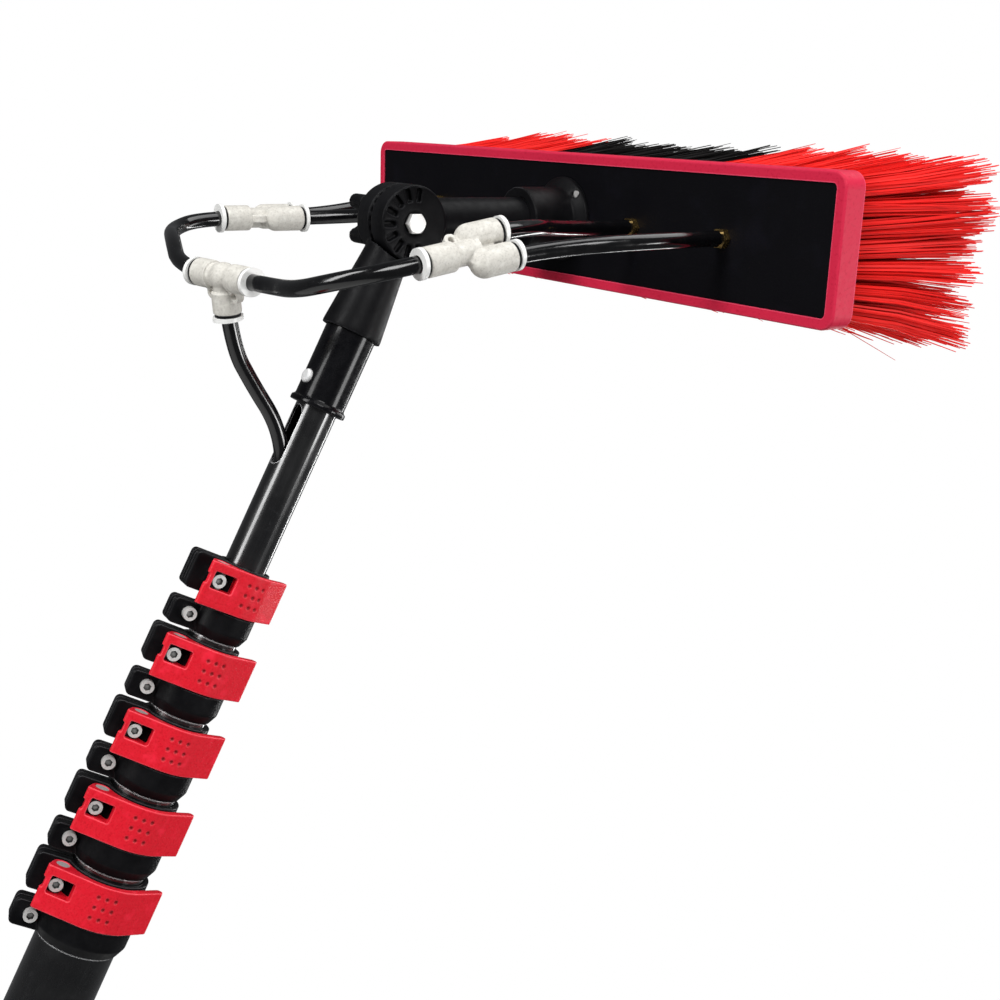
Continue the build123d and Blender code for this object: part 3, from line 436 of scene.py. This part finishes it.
def dimple(clamp):
    """Presses shallow round dimples into a lever's grip, and marks them for the painted shade that its finish puts
    in them.
    """
    group = bpy.data.node_groups.new(f"lever_{clamp}_dimples", "GeometryNodeTree")
    group.interface.new_socket("Geometry", in_out="INPUT", socket_type="NodeSocketGeometry")
    group.interface.new_socket("Geometry", in_out="OUTPUT", socket_type="NodeSocketGeometry")
    made = {}
    for key, kind in (
        ("given", "NodeGroupInput"), ("result", "NodeGroupOutput"),
        ("spokes", "GeometryNodeObjectInfo"), ("near", "GeometryNodeProximity"),
        ("depth", "ShaderNodeMapRange"), ("normal", "GeometryNodeInputNormal"),
        ("inward", "ShaderNodeVectorMath"), ("sink", "ShaderNodeMath"),
        ("move", "GeometryNodeSetPosition"), ("mark", "GeometryNodeStoreNamedAttribute"),
    ):
        made[key] = group.nodes.new(kind)
    made["spokes"].inputs["Object"].default_value = dimple_spokes(clamp)
    made["near"].target_element = "EDGES"
    made["depth"].interpolation_type = "SMOOTHSTEP"
    made["depth"].inputs["From Min"].default_value = DIMPLE_FLAT * DIMPLE_R
    made["depth"].inputs["From Max"].default_value = DIMPLE_R
    made["depth"].inputs["To Min"].default_value = 1.0
    made["depth"].inputs["To Max"].default_value = 0.0
    made["sink"].operation = "MULTIPLY"
    made["sink"].inputs[1].default_value = -DIMPLE_DEPTH
    made["inward"].operation = "SCALE"
    made["mark"].data_type = "FLOAT"
    made["mark"].domain = "POINT"
    made["mark"].inputs["Name"].default_value = "dimple"
    wires = [
        (made["spokes"].outputs["Geometry"], made["near"].inputs[0]),
        (made["near"].outputs["Distance"], made["depth"].inputs["Value"]),
        (made["depth"].outputs["Result"], made["sink"].inputs[0]),
        (made["normal"].outputs["Normal"], made["inward"].inputs[0]),
        (made["sink"].outputs["Value"], made["inward"].inputs["Scale"]),
        (made["given"].outputs["Geometry"], made["mark"].inputs["Geometry"]),
        (made["depth"].outputs["Result"], made["mark"].inputs["Value"]),
        (made["mark"].outputs["Geometry"], made["move"].inputs["Geometry"]),
        (made["inward"].outputs["Vector"], made["move"].inputs["Offset"]),
        (made["move"].outputs["Geometry"], made["result"].inputs["Geometry"]),
    ]
    for out, into in wires:
        group.links.new(out, into)
    lever = frame["nodes"][f"clamp_{clamp}_lever"]
    lever.modifiers.new("dimples", "NODES").node_group = group


for name, size in MOULDED.items():
    soften(name, size)
for number in CLAMPS:
    dimple(number)


# ---------------------------------------------------------------- hoses

HOSE_D = 8 * MM
# Hose: its body and its route from the pivot, which is the CAD's, moved by up to 8 mm for a smoother line.
# A link hose runs between the pole and the head; its body here is the one that it starts on, though it is left on
# no body.
ROUTES = {
    "link_hose_right": ("section_1", [
        (0.0058, -0.07555, -0.06798), (0.03286, -0.06881, -0.06554), (0.062, -0.072, -0.065),
        (0.086, -0.071, -0.058), (0.102, -0.05264, -0.04082), (0.102, -0.03036, -0.02385),
    ]),
    "link_hose_left": ("section_1", [
        (-0.0058, -0.07845, -0.06902), (-0.03286, -0.08519, -0.07146), (-0.060, -0.083, -0.058),
        (-0.092, -0.073, -0.050), (-0.104, -0.05579, -0.0359), (-0.104, -0.03106, -0.02276),
    ]),
    "jet_hose_right_inner": ("head", [
        (0.09666, -0.02065, -0.01019), (0.09666, 0.00162, 0.00678), (0.059, 0.05386, 0.02864),
        (0.059, 0.09209, 0.04897),
    ]),
    "jet_hose_right_outer": ("head", [
        (0.10734, -0.01462, -0.01811), (0.10734, 0.00765, -0.00114), (0.126, 0.05386, 0.02864),
        (0.126, 0.09209, 0.04897),
    ]),
    "jet_hose_left_inner": ("head", [
        (-0.0967, -0.01694, -0.01524), (-0.0967, 0.00779, -0.0021), (-0.059, 0.05386, 0.02864),
        (-0.059, 0.09209, 0.04897),
    ]),
    "jet_hose_left_outer": ("head", [
        (-0.1113, -0.01694, -0.01524), (-0.1113, 0.00779, -0.0021), (-0.126, 0.05386, 0.02864),
        (-0.126, 0.09209, 0.04897),
    ]),
    "pole_hose": ("section_1", [
        (-0.00042, -0.07356, -0.0734), (-0.00236, -0.05749, -0.09624), (-0.001, -0.038, -0.110),
        (0.0, -0.018, -0.122), (0.0, -0.004, -0.140), (0.0, 0.0, -0.165), (0.0, 0.0, -0.195),
        (0.0, 0.0, -1.6737),
    ]),
}


def spline_curve(name, points, radius):
    """A smooth tube along a route, or its bare line when the radius is 0."""
    curve = bpy.data.curves.new(name, "CURVE")
    curve.dimensions = "3D"
    curve.bevel_depth = radius
    curve.bevel_resolution = 8
    curve.resolution_u = 24
    curve.use_fill_caps = True
    spline = curve.splines.new("NURBS")
    spline.points.add(len(points) - 1)
    for target, point in zip(spline.points, points):
        target.co = (*point, 1)
    spline.order_u = 3
    spline.use_endpoint_u = True
    return curve


def baked(curve):
    """The mesh that a curve gives; with no bevel it is the curve's own line."""
    return bpy.data.meshes.new_from_object(bpy.data.objects.new(curve.name, curve))


def make_hose(name, body, route):
    """One hose, which replaces its CAD solid; a link hose is baked to a fixed mesh and rides on no body."""
    points = [from_pivot(*p) for p in route]
    crosses_joint = name.startswith("link")
    shape = spline_curve(name, points, HOSE_D / 2)
    line = None
    if crosses_joint:
        shape = baked(shape)
        line = [tuple(v.co) for v in baked(spline_curve(name + "_route", points, 0)).vertices]
        for face in shape.polygons:
            face.use_smooth = True
    piece = add_piece(name + "_line", shape, "hose_black")
    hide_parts(name)
    if crosses_joint:
        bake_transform(piece)
    else:
        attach(piece, body)


def make_hoses():
    for name, (body, route) in ROUTES.items():
        make_hose(name, body, route)


make_hoses()


# ---------------------------------------------------------------- black bands of painted shade in the release rings' gaps, and the button's leaf spring

TEE_MOUTH = 12 * MM        # from a hose's seat to its barrel's mouth
Y_MOUTH = 13.7 * MM
# the black bands of painted shade in the rings' gaps: outer and inner radius, length, and steps round
GAP_SHADE_OUT, GAP_SHADE_IN = 6.35 * MM, 5.25 * MM
GAP_SHADE_LENGTH = 1.35 * MM
GAP_SHADE_STEPS = 64
GAP_SHADES = {                  # release ring: the hose through it, and which end of that hose
    "tee_ring_right": ("link_hose_right", 0), "tee_ring_left": ("link_hose_left", 0),
    "tee_ring_branch": ("pole_hose", 0),
    "y_ring_right_inlet": ("link_hose_right", -1), "y_ring_left_inlet": ("link_hose_left", -1),
    "y_ring_right_inner": ("jet_hose_right_inner", 0), "y_ring_right_outer": ("jet_hose_right_outer", 0),
    "y_ring_left_inner": ("jet_hose_left_inner", 0), "y_ring_left_outer": ("jet_hose_left_outer", 0),
}


def make_gap_shade(ring, hose, end):
    """A black band in the gap between a release ring and its barrel: a dark piece put there as painted shade."""
    route = ROUTES[hose][1]
    seat, ahead = (route[0], route[1]) if end == 0 else (route[-1], route[-2])
    out = (Vector(ahead) - Vector(seat)).normalized()
    mouth = TEE_MOUTH if ring.startswith("tee") else Y_MOUTH
    low = from_pivot(*seat) + out * mouth
    across = out.orthogonal().normalized()
    round_about = out.cross(across)
    corners = [(0, GAP_SHADE_IN), (0, GAP_SHADE_OUT), (GAP_SHADE_LENGTH, GAP_SHADE_OUT), (GAP_SHADE_LENGTH, GAP_SHADE_IN)]
    shape = bmesh.new()
    rings = []
    for step in range(GAP_SHADE_STEPS):
        angle = math.tau * step / GAP_SHADE_STEPS
        side = across * math.cos(angle) + round_about * math.sin(angle)
        rings.append([shape.verts.new(low + out * h + side * r) for h, r in corners])
    for here, there in zip(rings, rings[1:] + rings[:1]):
        for k in range(4):
            n = (k + 1) % 4
            shape.faces.new((here[k], here[n], there[n], there[k]))
    bmesh.ops.recalc_face_normals(shape, faces=shape.faces)
    mesh = bpy.data.meshes.new(ring + "_seal")
    shape.to_mesh(mesh)
    shape.free()
    piece = add_piece(ring + "_seal", mesh, "clamp_black")
    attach(piece, "section_1" if ring.startswith("tee") else "head")
    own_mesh(piece)


def make_button_leaf():
    """The leaf spring behind the button, as a piece of its own on the top section."""
    piece = add_piece("button_leaf", frame["nodes"]["button_spring"].data.copy(), "bright_steel")
    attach(piece, "section_1")
    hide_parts("button_spring")
    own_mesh(piece)


for ring_name, (hose_name, hose_end) in GAP_SHADES.items():
    make_gap_shade(ring_name, hose_name, hose_end)
make_button_leaf()


# ---------------------------------------------------------------- bristles

ROOT_ALONG = 119.6 * MM    # from the pivot along the arm
TIP_ALONG = 211 * MM
FIELD_X = 190.5 * MM       # outermost tufts, from the brush's middle
FIELD_UP = 27.5 * MM
TUFTS_X = 44
TUFTS_UP = 7
TUFT_R = 4.0 * MM
TIP_R = 6.2 * MM           # a tuft's radius at its tips
STRANDS = 44               # in one tuft
STRAND_R = 0.52 * MM
FAN_X = 1.055              # tips' spread as a share of the roots'
FAN_TOP = 1.3
FAN_BOTTOM = 1.66
BLACK_X = 67 * MM          # the black tufts' half length in the top rows
BLACK_UP = 17.5 * MM
STRAY = 0.025              # share of strands that stand out from their tuft
STRAY_R = 0.6              # a stray's radius as a share of STRAND_R
THIN, THICK = 0.8, 1.15    # the others' radii, as shares of it
WANDER, END_WANDER = 1.6 * MM, 2.6 * MM     # a tuft's tip from its even place; at the brush's ends
END_TUFTS = 0.85           # the ends begin at this share of FIELD_X
BLUR, STRAY_BLUR = 0.8 * MM, 3.6 * MM       # a strand's tip from its even place in the tuft
UNEVEN = 9 * MM            # the shortest strand is this much shorter
TUFT_TONE, STRAND_TONE = 0.4, 0.6           # how much of the darker tone each brings in
PROFILE = (                # three rings of a strand: share of its length, of its lean, of its radius
    (0.0, 0.0, 1.0), (0.45, 0.34, 1.0), (1.0, 1.0, 0.5),
)
SEED = 7


class Field:
    """Vertices, faces and shading values of many three-sided strands."""

    def __init__(self):
        self.verts, self.faces, self.tone, self.depth = [], [], [], []

    def add(self, root, tip, radius, tone, turn):
        start = len(self.verts)
        lean = tip - root
        straight = ALONG * lean.dot(ALONG)
        side = lean.cross(UP).normalized()
        other = lean.cross(side).normalized()
        for t, bend, share in PROFILE:
            middle = root + straight * t + (lean - straight) * bend
            for k in range(3):
                angle = turn + math.tau * k / 3
                spoke = side * math.cos(angle) + other * math.sin(angle)
                self.verts.append(middle + spoke * radius * share)
                self.tone.append(tone)
                self.depth.append(t)
        for ring in (start, start + 3):
            for k in range(3):
                n = (k + 1) % 3
                self.faces.append((ring + k, ring + n, ring + 3 + n, ring + 3 + k))
        self.faces.append((start + 2, start + 1, start))
        self.faces.append((start + 6, start + 7, start + 8))

    def piece(self, name, slot, node):
        mesh = bpy.data.meshes.new(name)
        mesh.from_pydata(self.verts, [], self.faces)
        for key, values in (("tone", self.tone), ("depth", self.depth)):
            mesh.attributes.new(key, "FLOAT", "POINT").data.foreach_set("value", values)
        made = add_piece(name, mesh, slot)
        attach(made, "head")
        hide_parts(node)


def add_tuft(field, dice, x, up):
    """One tuft, whose strands leave the block together and fan out towards their tips."""
    wander = END_WANDER if abs(x) > END_TUFTS * FIELD_X else WANDER
    tip_x = x * FAN_X + dice.gauss(0, wander)
    tip_up = up * (FAN_TOP if up > 0 else FAN_BOTTOM) + dice.gauss(0, wander)
    shade = dice.random() * TUFT_TONE
    for _ in range(STRANDS):
        angle = dice.uniform(0, math.tau)
        out = math.sqrt(dice.random())
        dx, du = out * math.cos(angle), out * math.sin(angle)
        stray = dice.random() < STRAY
        blur = STRAY_BLUR if stray else BLUR
        root = on_head(x + dx * TUFT_R, up + du * TUFT_R, ROOT_ALONG)
        length = TIP_ALONG - dice.random() ** 2 * UNEVEN
        tip = on_head(
            tip_x + dx * TIP_R + dice.gauss(0, blur), tip_up + du * TIP_R + dice.gauss(0, blur), length
        )
        radius = STRAND_R * (STRAY_R if stray else dice.uniform(THIN, THICK))
        field.add(root, tip, radius, shade + dice.random() * STRAND_TONE, dice.random() * math.tau)


def make_bristles():
    """Rows of tufts over the whole block, black in the middle of the top rows."""
    dice = random.Random(SEED)
    red, black = Field(), Field()
    for i in range(TUFTS_X):
        for j in range(TUFTS_UP):
            x = FIELD_X * (2 * i / (TUFTS_X - 1) - 1)
            up = FIELD_UP * (2 * j / (TUFTS_UP - 1) - 1)
            dark = abs(x) <= BLACK_X and up >= BLACK_UP
            add_tuft(black if dark else red, dice, x, up)
    red.piece("bristle_tufts_red", "bristle_red", "bristles_red")
    black.piece("bristle_tufts_black", "bristle_black", "bristles_black")


make_bristles()


# ---------------------------------------------------------------- surroundings

SKY = 0.11                 # strength of the sky that reflections and shadows see
FLOOR_R = 1.7
FLOOR_GAP = 1 * MM
LIGHTS = {                 # place and target from the pivot, width and height, watts
    "key": ((1.5, -0.7, 0.9), (0.1, 0, -0.1), (0.9, 0.9), 22),
    "left_strip": ((0.1, -1.7, 0.3), (0, 0, -0.2), (0.55, 1.8), 30),
    "right_strip": ((1.35, 1.05, 0.12), (0.1, 0, 0), (0.5, 0.5), 11),
    "rim": ((-0.5, 1.6, 0.1), (0, 0, -0.2), (0.12, 1.8), 9),
    "front": ((0.4, 2.2, 0.9), (0, 0.1, 0), (1.4, 1.4), 22),
    "top": ((0.2, 0.2, 1.6), (0, 0, 0), (1.2, 1.2), 12),
}


def make_world():
    """White all round for the camera, and a softer grey sky for reflections."""
    world = bpy.data.worlds.new("studio")
    bpy.context.scene.world = world
    world.use_nodes = True
    tree = world.node_tree
    tree.nodes.clear()
    out = tree.nodes.new("ShaderNodeOutputWorld")
    mix = tree.nodes.new("ShaderNodeMixShader")
    path = tree.nodes.new("ShaderNodeLightPath")
    shown = tree.nodes.new("ShaderNodeBackground")
    light = tree.nodes.new("ShaderNodeBackground")
    shown.inputs["Color"].default_value = (1, 1, 1, 1)
    shown.inputs["Strength"].default_value = 1.0
    light.inputs["Color"].default_value = (0.95, 0.97, 1.0, 1)
    light.inputs["Strength"].default_value = SKY
    tree.links.new(path.outputs["Is Camera Ray"], mix.inputs["Fac"])
    tree.links.new(light.outputs["Background"], mix.inputs[1])
    tree.links.new(shown.outputs["Background"], mix.inputs[2])
    tree.links.new(mix.outputs["Shader"], out.inputs["Surface"])


def area_light(name, place, target, size, power):
    """A soft light at one point, turned towards another."""
    data = bpy.data.lights.new(name, "AREA")
    data.shape = "RECTANGLE"
    data.size, data.size_y = size
    data.energy = power
    lamp = add_object(name, data)
    lamp.location = from_pivot(*place)
    lamp.rotation_mode = "QUATERNION"
    lamp.rotation_quaternion = (Vector(target) - Vector(place)).to_track_quat("-Z", "Y")


def make_floor():
    """A plain pale disc just under the pole's end."""
    mesh = bpy.data.meshes.new("floor")
    shape = bmesh.new()
    bmesh.ops.create_circle(shape, cap_ends=True, radius=FLOOR_R, segments=96)
    shape.to_mesh(mesh)
    shape.free()
    floor = add_object("floor", mesh)
    floor.location = (0, 0, -FLOOR_GAP)
    shader = Shader("floor", (0.82, 0.82, 0.81), 0.6)
    shader.vary_roughness(shader.noise(12), 0.05)
    floor.data.materials.append(shader.material)


make_world()
make_floor()
for lamp_name, settings in LIGHTS.items():
    area_light(lamp_name, *settings)
bpy.context.scene.view_settings.view_transform = "Standard"
